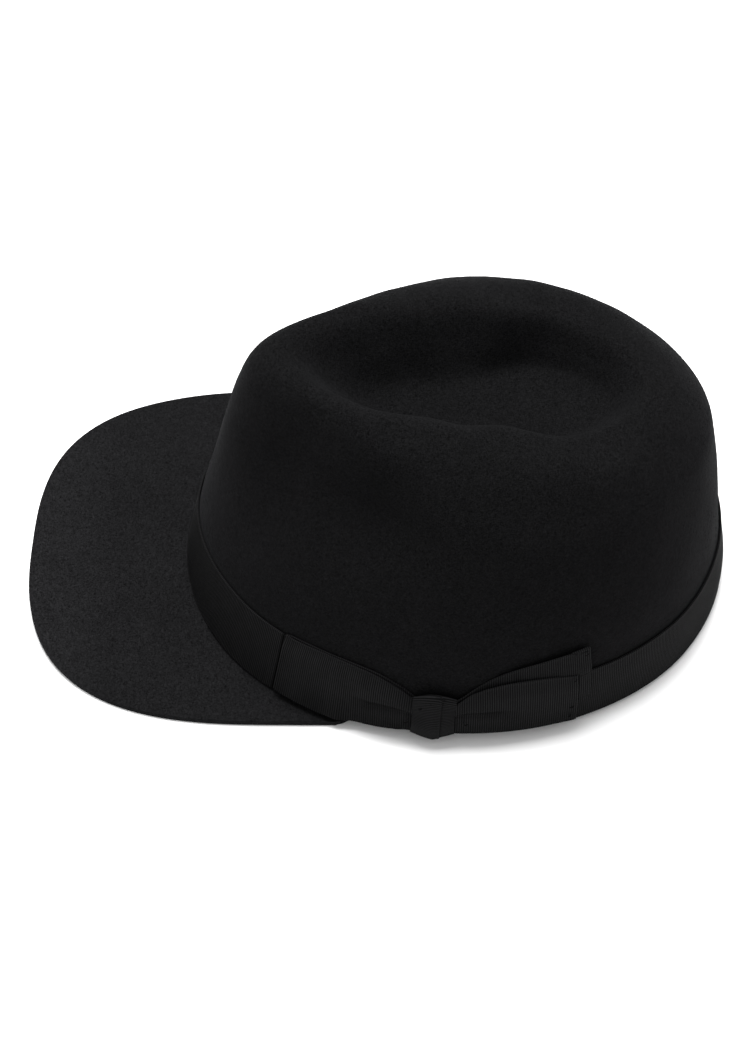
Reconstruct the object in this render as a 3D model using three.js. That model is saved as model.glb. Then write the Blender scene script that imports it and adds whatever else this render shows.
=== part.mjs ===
// A black wool felt cap with a creased fedora crown, a front peak and a ribbon band with a flat side bow.
// Millimetres. +Z is up, the peak points along -Y and the wearer's left side, with the bow, is +X.
// The origin lies on the surface that the cap rests on, under the middle of its bounding box.
import * as THREE from "three";
import { LoftGeometry } from "three/addons/geometries/LoftGeometry.js";

// Sizes of the felt
const FELT_THICK = 2.2;
const CROWN_BEHIND_ORIGIN = 30.4; // the crown's middle, along +Y from the origin
const BOW_STANDS_OUT = 3.4; // the bow widens the cap on one side only
const DENT_FLOOR_UP = 81.0;

// The crown's plan by angle from the front. Base and ridge: distances from the crown's middle.
// Base_up: the felt's lower edge over the table, clear of the peak. Band_up: the ribbon band's lower edge.
const CROWN = [
  { angle: 0, base_out: 100.4, base_up: 0.0, band_up: 3.2, ridge_out: 67.4, ridge_up: 107.3 },
  { angle: 30, base_out: 97.7, base_up: 0.0, band_up: 3.2, ridge_out: 51.0, ridge_up: 104.9 },
  { angle: 60, base_out: 91.5, base_up: 0.8, band_up: 3.2, ridge_out: 37.0, ridge_up: 103.6 },
  { angle: 90, base_out: 88.6, base_up: 2.2, band_up: 2.9, ridge_out: 35.7, ridge_up: 102.7 },
  { angle: 120, base_out: 91.5, base_up: 0.8, band_up: 1.6, ridge_out: 37.2, ridge_up: 101.1 },
  { angle: 150, base_out: 98.3, base_up: 0.0, band_up: 0.9, ridge_out: 54.9, ridge_up: 94.3 },
  { angle: 180, base_out: 102.3, base_up: 0.0, band_up: 0.8, ridge_out: 70.2, ridge_up: 92.6 },
];
// The crown's wall at the same angles: how far in from the base it stands, by share of the ridge's height
const WALL = [
  { angle: 0, in_10: 0.8, in_24: 2.4, in_48: 9.3, in_76: 16.9, in_86: 20.0, in_96: 24.8 },
  { angle: 30, in_10: 1.0, in_24: 4.2, in_48: 13.8, in_76: 34.0, in_86: 37.5, in_96: 41.8 },
  { angle: 60, in_10: 0.7, in_24: 3.3, in_48: 12.3, in_76: 34.0, in_86: 36.8, in_96: 43.2 },
  { angle: 90, in_10: 0.0, in_24: 1.1, in_48: 6.8, in_76: 22.0, in_86: 28.0, in_96: 40.2 },
  { angle: 120, in_10: 0.0, in_24: 0.6, in_48: 4.4, in_76: 16.0, in_86: 25.0, in_96: 35.4 },
  { angle: 150, in_10: 0.0, in_24: 1.0, in_48: 4.0, in_76: 11.0, in_86: 15.9, in_96: 27.8 },
  { angle: 180, in_10: 0.0, in_24: 2.1, in_48: 5.1, in_76: 9.4, in_86: 12.0, in_96: 21.6 },
];
// Rows: how many rows of faces lie between a level and the one before it
const WALL_LEVELS = [
  { share: 0.1, column: "in_10", rows: 1 },
  { share: 0.24, column: "in_24", rows: 1 },
  { share: 0.48, column: "in_48", rows: 2 },
  { share: 0.76, column: "in_76", rows: 2 },
  { share: 0.86, column: "in_86", rows: 2 },
  { share: 0.96, column: "in_96", rows: 1 },
];
// The dent at the same angles, from the ridge inwards: shares of the ridge's distance
const DENT = [
  { angle: 0, crest: 1.0, brow: 0.86, slope: 0.7, foot: 0.48, floor: 0.22, middle: 0 },
  { angle: 30, crest: 1.0, brow: 0.83, slope: 0.64, foot: 0.42, floor: 0.2, middle: 0 },
  { angle: 60, crest: 1.0, brow: 0.81, slope: 0.6, foot: 0.36, floor: 0.18, middle: 0 },
  { angle: 90, crest: 1.0, brow: 0.82, slope: 0.61, foot: 0.37, floor: 0.18, middle: 0 },
  { angle: 120, crest: 1.0, brow: 0.86, slope: 0.68, foot: 0.48, floor: 0.22, middle: 0 },
  { angle: 150, crest: 1.0, brow: 0.91, slope: 0.8, foot: 0.66, floor: 0.31, middle: 0 },
  { angle: 180, crest: 1.0, brow: 0.93, slope: 0.84, foot: 0.73, floor: 0.35, middle: 0 },
];
// Rise: share of the ridge's rise over the dent's floor
const DENT_LEVELS = [
  { rise: 1.0, column: "crest", rows: 2 },
  { rise: 0.93, column: "brow", rows: 2 },
  { rise: 0.52, column: "slope", rows: 2 },
  { rise: 0.06, column: "foot", rows: 2 },
  { rise: 0.0, column: "floor", rows: 1 },
  { rise: 0.0, column: "middle", rows: 1 },
];

// The peak: a rounded tongue whose sides run straight back until they meet the crown's base
const PEAK_FRONT = 164.0; // distance of its front edge from the crown's middle
const PEAK_SHOULDER = 66.0; // where its straight sides begin to round
const PEAK_HALF_WIDTH = 84.0;
const PEAK_SQUARENESS = 2.8;
const PEAK_TIP_RISE = 2.0;
const PEAK_FADE = { from: 62, to: 68 }; // degrees from the front over which it dies into the base
const FOLD_RADIUS = 4.0; // between the crown's wall and the peak's top
const FOLD_RADIUS_LEAST = 0.5; // where the peak has died into the base
const FOLD_ROWS = 4;
const PEAK_ROWS = 5;

// The ribbon band
const RIBBON_WIDE = 25.0;
const RIBBON_THICK = 0.6;
const RIBBON_GAP = 0.4;
const BAND_FLARE = 2.3; // how far the lower edge stands out over the fold of the peak
const BAND_GATHER = 0.3; // share of the band's width that is drawn down behind the knot
const BAND_GATHER_REACH = 42.0; // distance along the band over which it is drawn down, each way from the knot
const BAND_ROWS = 4;

// The bow. Along: distance round the band from the knot, towards the back. Off: distance off the band's face.
const KNOT_ANGLE = 84.2;
const BOW_THICK = 0.5;
// One strip that goes out along the band, folds back on itself and returns to the knot
const LOOP = [
  { along: -7.2, off: 0.7, low: 6.6, high: 21.4 },
  { along: -13, off: 0.85, low: 5.8, high: 25.6 },
  { along: -24, off: 0.85, low: 5.0, high: 29.6 },
  { along: -42, off: 0.85, low: 4.9, high: 30.4 },
  { along: -57, off: 0.85, low: 5.2, high: 29.8 },
  { along: -59.4, off: 0.95, low: 5.4, high: 29.4 },
  { along: -60.2, off: 1.4, low: 5.5, high: 29.3 },
  { along: -59.4, off: 1.85, low: 5.4, high: 29.3 },
  { along: -57, off: 2.0, low: 5.1, high: 29.4 },
  { along: -42, off: 2.2, low: 4.6, high: 29.6 },
  { along: -26, off: 2.25, low: 4.4, high: 28.6 },
  { along: -14, off: 1.95, low: 5.0, high: 24.8 },
  { along: -7.2, off: 1.6, low: 6.2, high: 20.8 },
];
const TAIL_REAR = [
  { along: 7.0, off: 0.55, low: 6.6, high: 21.4 },
  { along: 14, off: 0.7, low: 7.4, high: 27.0 },
  { along: 26, off: 0.9, low: 10.4, high: 34.4 },
  { along: 42, off: 1.1, low: 13.4, high: 38.2 },
  { along: 56.6, off: 1.3, low: 14.8, high: 39.6 },
];
const TAIL_FRONT = [
  { along: 7.0, off: 1.6, low: 6.4, high: 20.8 },
  { along: 14, off: 1.9, low: 6.0, high: 26.2 },
  { along: 26, off: 2.2, low: 5.9, high: 30.4 },
  { along: 40, off: 2.3, low: 5.6, high: 30.8 },
  { along: 51.2, off: 2.3, low: 4.8, high: 28.8 },
];
const STRIP_COLUMNS = 4; // of faces across a strip
const STRIP_STEP = 5.0; // spacing of the sections along a strip
// The knot's ribbon, from behind the bow's upper edge, over its face, to behind its lower edge
const KNOT = [
  { up: 22.9, off: 0.6 },
  { up: 24.5, off: 1.3 },
  { up: 24.6, off: 2.4 },
  { up: 22.8, off: 3.2 },
  { up: 13.8, off: 3.4 },
  { up: 5.4, off: 3.2 },
  { up: 3.8, off: 2.4 },
  { up: 3.8, off: 1.2 },
  { up: 4.9, off: 0.6 },
];
const KNOT_HALF_WIDE = 8.4;
const KNOT_WAIST = 0.6; // how much narrower it is across its middle, on each side
const KNOT_COLUMNS = 3;

// Angles of the sections from the front, closer together where the peak's sides die into the base
const ANGLE_STEP = 5;
const PEAK_END_ANGLES = [62, 64, 66, 67, 68, 71];
const HALVINGS = 40;

const radians = THREE.MathUtils.degToRad;

// Hermite curve through values at given places, with level or free ends
function through(places, values, at, levelEnds) {
  const last = places.length - 1;
  let i = 0;
  while (i < last - 1 && at > places[i + 1]) i += 1;
  const slope = (k) => {
    if (levelEnds && (k === 0 || k === last)) return 0;
    const a = Math.max(k - 1, 0);
    const b = Math.min(k + 1, last);
    return (values[b] - values[a]) / (places[b] - places[a]);
  };
  const span = places[i + 1] - places[i];
  const t = (at - places[i]) / span;
  const rise = t * t * (3 - 2 * t);
  const leave = t * (1 - t) * (1 - t) * span * slope(i);
  const arrive = t * t * (t - 1) * span * slope(i + 1);
  return values[i] + (values[i + 1] - values[i]) * rise + leave + arrive;
}

function crownValue(column, angle) {
  const table = [CROWN, WALL, DENT].find((rows) => column in rows[0]);
  return through(table.map((row) => row.angle), table.map((row) => row[column]), Math.abs(angle), true);
}

// Points along a smooth curve through given points, as many to each stretch as its point asks for
function curveThrough(points) {
  const places = [0];
  for (let i = 1; i < points.length; i += 1) {
    const step = Math.hypot(points[i].out - points[i - 1].out, points[i].up - points[i - 1].up);
    places.push(places[i - 1] + step);
  }
  const outs = points.map((p) => p.out);
  const ups = points.map((p) => p.up);
  const curve = [points[0]];
  for (let i = 1; i < points.length; i += 1) {
    for (let k = 1; k <= points[i].rows; k += 1) {
      const at = places[i - 1] + ((places[i] - places[i - 1]) * k) / points[i].rows;
      curve.push({ out: through(places, outs, at, false), up: through(places, ups, at, false) });
    }
  }
  return curve;
}

const foldUp = FELT_THICK + FOLD_RADIUS;

// How much of the peak there is at an angle: 1 at the front, 0 from where it has died into the base
function peakShare(angle) {
  const t = (PEAK_FADE.to - Math.abs(angle)) / (PEAK_FADE.to - PEAK_FADE.from);
  return THREE.MathUtils.smoothstep(t, 0, 1);
}

// Distance from the crown's middle to the peak's outline, found by halving along the ray
function peakReach(angle) {
  const c = Math.cos(radians(angle));
  const s = Math.abs(Math.sin(radians(angle)));
  const inside = (r) => {
    const forward = Math.max(r * c - PEAK_SHOULDER, 0) / (PEAK_FRONT - PEAK_SHOULDER);
    return forward ** PEAK_SQUARENESS + ((r * s) / PEAK_HALF_WIDTH) ** PEAK_SQUARENESS < 1;
  };
  let near = 0;
  let far = 2 * PEAK_FRONT;
  for (let i = 0; i < HALVINGS; i += 1) {
    const middle = (near + far) / 2;
    if (inside(middle)) near = middle;
    else far = middle;
  }
  return near;
}

// Radius of the fold between the wall and the peak, which shrinks where the peak grows narrow
function foldRadius(angle) {
  const depth = peakReach(angle) - crownValue("base_out", angle);
  return THREE.MathUtils.clamp(depth, FOLD_RADIUS_LEAST, FOLD_RADIUS);
}

// Height of the peak's underside over the table
function peakRise(out, angle) {
  const forward = out * Math.cos(radians(angle));
  const across = (out * Math.sin(radians(angle))) / PEAK_HALF_WIDTH;
  const share = THREE.MathUtils.clamp((forward - PEAK_SHOULDER) / (PEAK_FRONT - PEAK_SHOULDER), 0, 1);
  return PEAK_TIP_RISE * share * share * Math.max(1 - across * across, 0);
}

// The felt's outer face at one angle, from the dent's middle over the ridge to the cut or the peak's edge
function outerSection(angle) {
  const base = crownValue("base_out", angle);
  const baseUp = Math.max(crownValue("base_up", angle), 0);
  const ridgeOut = crownValue("ridge_out", angle);
  const ridgeUp = crownValue("ridge_up", angle);
  const foot = base - (crownValue("in_10", angle) * foldUp) / (WALL_LEVELS[0].share * ridgeUp);
  const shape = [{ out: foot, up: foldUp }];
  for (const level of WALL_LEVELS) {
    shape.push({ out: base - crownValue(level.column, angle), up: level.share * ridgeUp, rows: level.rows });
  }
  for (const level of DENT_LEVELS) {
    const up = DENT_FLOOR_UP + level.rise * (ridgeUp - DENT_FLOOR_UP);
    shape.push({ out: crownValue(level.column, angle) * ridgeOut, up, rows: level.rows });
  }
  const crown = curveThrough(shape).reverse();

  const share = peakShare(angle);
  const reach = Math.max(peakReach(angle), base);
  const radius = foldRadius(angle);
  const rows = FOLD_ROWS + PEAK_ROWS;
  const skirt = [];
  for (let k = 1; k <= rows; k += 1) {
    const down = { out: foot + ((base - foot) * k) / rows, up: foldUp + ((baseUp - foldUp) * k) / rows };
    const turn = (Math.min(k, FOLD_ROWS) / FOLD_ROWS) * (Math.PI / 2);
    const beyond = Math.max(k - FOLD_ROWS, 0) / PEAK_ROWS;
    const foldOut = foot + radius * (1 - Math.cos(turn));
    const out = foldOut + (reach - foldOut) * beyond;
    const up = FELT_THICK + peakRise(out, angle) + FOLD_RADIUS * (1 - Math.sin(turn));
    skirt.push({ out: down.out + (out - down.out) * share, up: down.up + (up - down.up) * share });
  }
  return crown.concat(skirt);
}

// The felt's inner face: the outer one moved in by the felt's thickness, square to the section's curve
function innerSection(outer, angle) {
  const share = peakShare(angle);
  const last = outer.length - 1;
  return outer.map((point, k) => {
    const before = outer[Math.max(k - 1, 0)];
    const after = outer[Math.min(k + 1, last)];
    const length = Math.hypot(after.out - before.out, after.up - before.up);
    const moved = {
      out: point.out + (FELT_THICK * (after.up - before.up)) / length,
      up: Math.max(point.up - (FELT_THICK * (after.out - before.out)) / length, 0),
    };
    if (k === 0) moved.out = point.out;
    if (k === last) {
      moved.out = point.out - FELT_THICK * (1 - share);
      moved.up = Math.max(point.up - FELT_THICK * share, 0);
    }
    return moved;
  });
}

// A point of the part from an angle, a distance from the crown's middle and a height
function place(angle, out, up) {
  const forward = out * Math.cos(radians(angle));
  const left = out * Math.sin(radians(angle));
  return new THREE.Vector3(left - BOW_STANDS_OUT / 2, CROWN_BEHIND_ORIGIN - forward, up);
}

function angleList() {
  const evenly = [];
  for (let a = 0; a <= 180; a += ANGLE_STEP) evenly.push(a);
  const before = evenly.filter((a) => a < PEAK_END_ANGLES[0]);
  const behind = evenly.filter((a) => a > PEAK_END_ANGLES[PEAK_END_ANGLES.length - 1]);
  const half = [...before, ...PEAK_END_ANGLES, ...behind];
  const mirrored = half.slice(1, -1).reverse().map((a) => -a);
  return half.concat(mirrored);
}

const ANGLES = angleList();
const OUTER = ANGLES.map(outerSection);

// A closed skin over rings of points, which starts and ends at a point of its own
function closedSkin(first, rings, last) {
  const points = [first, ...rings.flat(), last];
  const around = rings[0].length;
  const index = [];
  const corner = (row, k) => 1 + row * around + (k % around);
  for (let k = 0; k < around; k += 1) index.push(0, corner(0, k), corner(0, k + 1));
  for (let row = 0; row < rings.length - 1; row += 1) {
    for (let k = 0; k < around; k += 1) {
      index.push(corner(row, k), corner(row + 1, k), corner(row + 1, k + 1));
      index.push(corner(row, k), corner(row + 1, k + 1), corner(row, k + 1));
    }
  }
  const end = points.length - 1;
  const lowest = rings.length - 1;
  for (let k = 0; k < around; k += 1) index.push(end, corner(lowest, k + 1), corner(lowest, k));
  const geometry = new THREE.BufferGeometry().setFromPoints(points);
  geometry.setIndex(index);
  geometry.computeVertexNormals();
  return geometry;
}

function feltBody() {
  const inner = OUTER.map((section, k) => innerSection(section, ANGLES[k]));
  const ring = (face, row) => face.map((section, k) => place(ANGLES[k], section[row].out, section[row].up));
  const rings = [];
  for (let row = 1; row < OUTER[0].length; row += 1) rings.push(ring(OUTER, row));
  for (let row = OUTER[0].length - 1; row >= 1; row -= 1) rings.push(ring(inner, row));
  return closedSkin(place(0, 0, DENT_FLOOR_UP), rings, place(0, 0, DENT_FLOOR_UP - FELT_THICK));
}

// Distance from the crown's middle to the felt's outer wall at an angle and a height
function wallOut(angle, up) {
  const base = crownValue("base_out", angle);
  const ridgeUp = crownValue("ridge_up", angle);
  const levels = [0].concat(WALL_LEVELS.map((level) => level.share * ridgeUp));
  const insets = [0].concat(WALL_LEVELS.map((level) => crownValue(level.column, angle)));
  return base - through(levels, insets, up, false);
}

// The band's inner face: it bridges straight from its lower edge to its upper one, or lies on the wall
function bandPoint(angle, share) {
  const low = crownValue("band_up", angle);
  const flare = (BAND_FLARE * peakShare(angle) * foldRadius(angle)) / FOLD_RADIUS;
  const bottom = crownValue("base_out", angle) + RIBBON_GAP + flare;
  const top = wallOut(angle, low + RIBBON_WIDE) + RIBBON_GAP;
  const up = low + RIBBON_WIDE * share;
  return { out: Math.max(bottom + (top - bottom) * share, wallOut(angle, up) + RIBBON_GAP), up };
}

// Distance round the band from the front, by whole degrees
const ROUND_ANGLES = [0];
const ROUND_PLACES = [0];
for (let angle = 1; angle <= 180; angle += 1) {
  const a = place(angle - 1, bandPoint(angle - 1, 0.5).out, 0);
  const b = place(angle, bandPoint(angle, 0.5).out, 0);
  ROUND_ANGLES.push(angle);
  ROUND_PLACES.push(ROUND_PLACES[angle - 1] + a.distanceTo(b));
}
const KNOT_PLACE = through(ROUND_ANGLES, ROUND_PLACES, KNOT_ANGLE, false);

// Distance along the band from the knot. The cap's right side counts as far away.
function alongAt(angle) {
  if (angle < 0) return ROUND_PLACES[ROUND_PLACES.length - 1];
  return through(ROUND_ANGLES, ROUND_PLACES, angle, false) - KNOT_PLACE;
}

function angleAt(along) {
  return through(ROUND_PLACES, ROUND_ANGLES, along + KNOT_PLACE, false);
}

// Share of its full width that the band keeps at an angle, since the knot gathers it too
function bandWidth(angle) {
  const near = 1 - Math.abs(alongAt(angle)) / BAND_GATHER_REACH;
  return 1 - BAND_GATHER * THREE.MathUtils.smoothstep(near, 0, 1);
}

function hatBand() {
  const sections = ANGLES.map((angle) => {
    const inner = [];
    const outer = [];
    for (let k = 0; k <= BAND_ROWS; k += 1) {
      const point = bandPoint(angle, (bandWidth(angle) * k) / BAND_ROWS);
      inner.push(place(angle, point.out, point.up));
      outer.push(place(angle, point.out + RIBBON_THICK, point.up));
    }
    return outer.concat(inner.reverse());
  });
  return new LoftGeometry(sections.concat([sections[0]]).reverse());
}

// A point over the band's face, which is carried on straight above its upper edge
function overBand(along, up, off) {
  const angle = angleAt(along);
  const low = bandPoint(angle, 0);
  const middle = bandPoint(angle, 0.5);
  const high = bandPoint(angle, 1);
  const share = (up - low.up) / (high.up - low.up);
  const chord = low.out + (high.out - low.out) * share;
  const bulge = middle.out - (low.out + high.out) / 2;
  const round = bulge * Math.max(4 * share * (1 - share), 0);
  return place(angle, chord + round + RIBBON_THICK + off, up);
}

// Stations at even steps along a smooth curve through the rows of a table
function evenStations(rows) {
  const places = [0];
  for (let i = 1; i < rows.length; i += 1) {
    const step = Math.hypot(rows[i].along - rows[i - 1].along, rows[i].off - rows[i - 1].off);
    places.push(places[i - 1] + step);
  }
  const values = (column) => rows.map((row) => row[column]);
  const stations = [];
  for (let i = 1; i < rows.length; i += 1) {
    const count = Math.ceil((places[i] - places[i - 1]) / STRIP_STEP);
    for (let k = 0; k < count; k += 1) {
      stations.push(places[i - 1] + ((places[i] - places[i - 1]) * k) / count);
    }
  }
  stations.push(places[places.length - 1]);
  return stations.map((at) => ({
    along: through(places, values("along"), at, false),
    off: through(places, values("off"), at, false),
    low: through(places, values("low"), at, false),
    high: through(places, values("high"), at, false),
  }));
}

// A strip of ribbon that follows a table of stations over the band
function strip(table) {
  const rows = evenStations(table);
  const sections = rows.map((row, k) => {
    const before = rows[Math.max(k - 1, 0)];
    const after = rows[Math.min(k + 1, rows.length - 1)];
    const length = Math.hypot(after.along - before.along, after.off - before.off);
    const sideAlong = (-(after.off - before.off) / length) * (BOW_THICK / 2);
    const sideOff = ((after.along - before.along) / length) * (BOW_THICK / 2);
    const one = [];
    const other = [];
    for (let c = 0; c <= STRIP_COLUMNS; c += 1) {
      const up = row.low + ((row.high - row.low) * c) / STRIP_COLUMNS;
      one.push(overBand(row.along + sideAlong, up, row.off + sideOff));
      other.push(overBand(row.along - sideAlong, up, row.off - sideOff));
    }
    return other.concat(one.reverse());
  });
  return new LoftGeometry(sections, { capStart: true, capEnd: true });
}

function bowKnot() {
  const sections = KNOT.map((row, k) => {
    const before = KNOT[Math.max(k - 1, 0)];
    const after = KNOT[Math.min(k + 1, KNOT.length - 1)];
    const length = Math.hypot(after.up - before.up, after.off - before.off);
    const sideUp = ((after.off - before.off) / length) * (BOW_THICK / 2);
    const sideOff = (-(after.up - before.up) / length) * (BOW_THICK / 2);
    const half = KNOT_HALF_WIDE - KNOT_WAIST * Math.sin((Math.PI * k) / (KNOT.length - 1));
    const one = [];
    const other = [];
    for (let c = 0; c <= KNOT_COLUMNS; c += 1) {
      const along = half * ((2 * c) / KNOT_COLUMNS - 1);
      one.push(overBand(along, row.up + sideUp, row.off + sideOff));
      other.push(overBand(along, row.up - sideUp, row.off - sideOff));
    }
    return other.concat(one.reverse());
  });
  return new LoftGeometry(sections, { capStart: true, capEnd: true });
}

const felt = new THREE.MeshStandardMaterial({ color: 0x1b1b1d, roughness: 0.95, metalness: 0 });
const ribbon = new THREE.MeshStandardMaterial({ color: 0x232325, roughness: 0.7, metalness: 0 });

function named(name, geometry, material) {
  const mesh = new THREE.Mesh(geometry, material);
  mesh.name = name;
  return mesh;
}

const cap = new THREE.Group();
cap.add(named("felt_body", feltBody(), felt));
cap.add(named("hat_band", hatBand(), ribbon));
cap.add(named("bow_loop", strip(LOOP), ribbon));
cap.add(named("bow_tail_rear", strip(TAIL_REAR), ribbon));
cap.add(named("bow_tail_front", strip(TAIL_FRONT), ribbon));
cap.add(named("bow_knot", bowKnot(), ribbon));

export default cap;
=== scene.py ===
"""A black wool felt cap with a creased fedora crown, a front peak and a ribbon band with a flat side bow.

The cap's tables hold millimetres and degrees, and those of its tones, light and camera hold metres.
Its front, with the peak, is -Y, and its left side, with the bow, is +X.
"""

import math

import bpy
import numpy as np
from mathutils import Matrix, Vector


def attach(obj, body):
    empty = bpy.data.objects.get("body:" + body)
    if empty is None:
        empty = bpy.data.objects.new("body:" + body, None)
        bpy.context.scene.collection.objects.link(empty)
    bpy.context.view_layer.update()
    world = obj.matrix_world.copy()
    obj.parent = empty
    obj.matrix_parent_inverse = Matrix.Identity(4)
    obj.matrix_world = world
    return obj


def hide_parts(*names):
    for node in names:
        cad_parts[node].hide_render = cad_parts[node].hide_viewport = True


bl_info = {
    "name": "Felt Cap with Ribbon Bow",
    "version": (1, 0, 0),
    "blender": (4, 5, 0),
    "location": "3D View > Sidebar > Felt Cap",
    "description": "Models a felt cap with a fedora crown, a peak, a ribbon band and a side bow",
    "category": "Object",
}

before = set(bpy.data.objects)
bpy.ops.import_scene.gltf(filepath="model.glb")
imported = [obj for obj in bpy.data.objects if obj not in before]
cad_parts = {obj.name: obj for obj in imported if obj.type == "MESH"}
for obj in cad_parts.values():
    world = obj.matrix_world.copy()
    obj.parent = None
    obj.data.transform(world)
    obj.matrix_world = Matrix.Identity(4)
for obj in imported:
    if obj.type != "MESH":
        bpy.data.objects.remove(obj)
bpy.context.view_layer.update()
MM = 0.001
SEED = 7

# The felt's form

CROWN_BEHIND_ORIGIN = 30.4
CROWN_TO_RIGHT = 1.7
DENT_FLOOR_UP = 81.0
CROWN_ANGLES = (0, 30, 60, 90, 120, 150, 180)
BASE_OUT = (100.4, 97.7, 91.5, 88.6, 91.5, 98.3, 102.3)
BASE_UP = (0.0, 0.0, 0.8, 2.2, 0.8, 0.0, 0.0)
BAND_UP = (3.2, 3.2, 3.2, 2.9, 1.6, 0.9, 0.8)
RIDGE_OUT = (67.4, 51.0, 37.0, 35.7, 37.2, 54.9, 70.2)
RIDGE_UP = (107.3, 104.9, 103.6, 102.7, 101.1, 94.3, 92.6)
# Share of the ridge's height, rows of faces from the level below, and inset from the base at each angle
WALL = (
    (0.10, 1, (0.8, 1.0, 0.7, 0.0, 0.0, 0.0, 0.0)),
    (0.24, 1, (2.4, 4.2, 3.3, 1.1, 0.6, 1.0, 2.1)),
    (0.48, 2, (9.3, 13.8, 12.3, 6.8, 4.4, 4.0, 5.1)),
    (0.76, 2, (16.9, 34.0, 34.0, 22.0, 16.0, 11.0, 9.4)),
    (0.86, 2, (20.0, 37.5, 36.8, 28.0, 25.0, 15.9, 12.0)),
    (0.96, 1, (24.8, 41.8, 43.2, 40.2, 35.4, 27.8, 21.6)),
)
# Share of the ridge's rise over the floor, rows of faces from the level above, share of its distance out
DENT = (
    (1.0, 2, (1.0, 1.0, 1.0, 1.0, 1.0, 1.0, 1.0)),
    (0.93, 2, (0.86, 0.83, 0.81, 0.82, 0.86, 0.91, 0.93)),
    (0.52, 2, (0.7, 0.64, 0.6, 0.61, 0.68, 0.8, 0.84)),
    (0.06, 2, (0.48, 0.42, 0.36, 0.37, 0.48, 0.66, 0.73)),
    (0.0, 1, (0.22, 0.2, 0.18, 0.18, 0.22, 0.31, 0.35)),
    (0.0, 1, (0.0, 0.0, 0.0, 0.0, 0.0, 0.0, 0.0)),
)
PEAK_FRONT = 164.0
PEAK_SHOULDER = 66.0
PEAK_HALF_WIDTH = 84.0
PEAK_SQUARENESS = 2.8
PEAK_TIP_RISE = 2.0
PEAK_FADE = (62.0, 68.0)
FOLD_RADIUS = 4.0
FOLD_RADIUS_LEAST = 0.5
FOLD_ROWS = 4
PEAK_ROWS = 5
PEAK_HALVINGS = 40
# The felt's unevenness: two wavelengths, the waves added up for each, and where it fades in
LONG_WAVE = 55.0
SHORT_WAVE = 17.0
SHORT_WAVE_SHARE = 0.2
WAVE_COUNT = 14
WAVE_LENGTHS = (0.7, 1.5)
WAVES_ON_PEAK = 0.6
WAVES_BEYOND_BASE = (6.0, 14.0)
WAVES_ABOVE_BAND = (29.0, 39.0)

# The ribbons' courses

RIBBON_WIDE = 25.0
BAND_GAP = 0.4
BAND_FLARE = 2.3
BAND_GATHER = 0.3
BAND_GATHER_REACH = 42.0
BAND_THICK = 0.6
BOW_THICK = 0.5
KNOT_ANGLE = 84.2
# Distance along the band from the knot, off the band's face, and the heights of the strip's two edges
LOOP = (
    (-7.2, 0.55, 6.6, 21.4), (-13, 0.6, 5.8, 25.4), (-24, 0.6, 5.0, 29.2), (-42, 0.6, 4.9, 30.0),
    (-57, 0.6, 5.2, 29.6), (-59.4, 0.7, 5.4, 29.3), (-60.2, 1.0, 5.5, 29.3), (-59.4, 1.3, 5.4, 29.3),
    (-57, 1.4, 5.1, 29.4), (-42, 1.5, 4.6, 29.8), (-26, 1.6, 4.4, 29.0), (-14, 1.6, 5.0, 25.3),
    (-7.2, 1.5, 6.2, 20.9),
)
# The tails' ends turn under
TAIL_REAR = (
    (7.0, 0.5, 6.6, 21.4), (14, 0.6, 7.4, 27.0), (26, 0.7, 10.4, 34.4), (42, 0.9, 13.4, 38.2),
    (55.8, 1.15, 14.8, 39.6), (56.5, 1.05, 14.8, 39.6), (56.6, 0.85, 14.8, 39.5), (56.4, 0.65, 14.8, 39.4),
    (55.6, 0.55, 14.8, 39.3), (50.0, 0.35, 14.4, 38.6),
)
TAIL_FRONT = (
    (7.0, 1.4, 6.4, 20.8), (14, 1.6, 6.0, 26.2), (26, 1.75, 5.9, 30.4), (40, 1.95, 5.6, 30.8),
    (50.4, 2.15, 4.8, 28.9), (51.1, 2.05, 4.8, 28.8), (51.2, 1.85, 4.8, 28.8), (51.0, 1.7, 4.9, 28.8),
    (50.2, 1.6, 5.0, 28.9), (45.0, 1.45, 5.3, 29.6),
)
# Height and distance off the band's face, from behind the bow's upper edge to behind its lower edge
KNOT = (
    (22.9, 0.6), (24.5, 1.3), (24.6, 2.4), (22.8, 3.1), (15.5, 3.3),
    (10.6, 3.6), (6.2, 2.9), (4.2, 2.2), (3.9, 1.2), (4.9, 0.6),
)
KNOT_HALF_WIDE = 7.9
KNOT_WAIST = 0.6
BAND_RIPPLE = 0.22
BAND_RIPPLE_WAVE = 34.0

# How the ribbons lie, and the shade painted on them

# Lifts and tucks are millimetres, and reaches are shares of the ribbon's width
FOLD_LIFT = 1.2
FOLD_BELOW = 0.16
LOOP_FOLD_ABOVE = 0.42
LOOP_TUCK = 1.05
LOOP_TUCK_IN_FRONT = 0.3
TAIL_FOLD_ABOVE = 0.4
TAIL_REAR_TUCK = 1.5
TAIL_FRONT_TUCK = 0.75
# Where the front tail's fold runs: distances from the knot, and shares of the width
TAIL_FOLD_ALONG = (7, 16, 24, 34, 52)
TAIL_FOLD_SHARE = (0.76, 0.61, 0.54, 0.43, 0.36)
# The knot slants, bulges, steps down where it overlaps, arches at its top and comes to a point at its foot
KNOT_SLANT = 0.9
KNOT_SLANT_MIDDLE = 0.4
KNOT_BULGE = 1.2
KNOT_SINK = 0.6
KNOT_OVERLAP_RISE = 0.2
KNOT_OVERLAP_DROP = 0.75
KNOT_TOP_ARCH = 2.6
KNOT_TOP_SINK = 2.0
KNOT_FOOT_POINT = 2.7
KNOT_FOOT_SINK = 1.2
# Selvedges: how much of a rib reaches them, the thickness of their rim, and how they thicken and scallop
SELVEDGE_RIB = 0.35
SELVEDGE_RIM = 0.45
SELVEDGE_THICKER = 0.25
SCALLOP = 0.05
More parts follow.
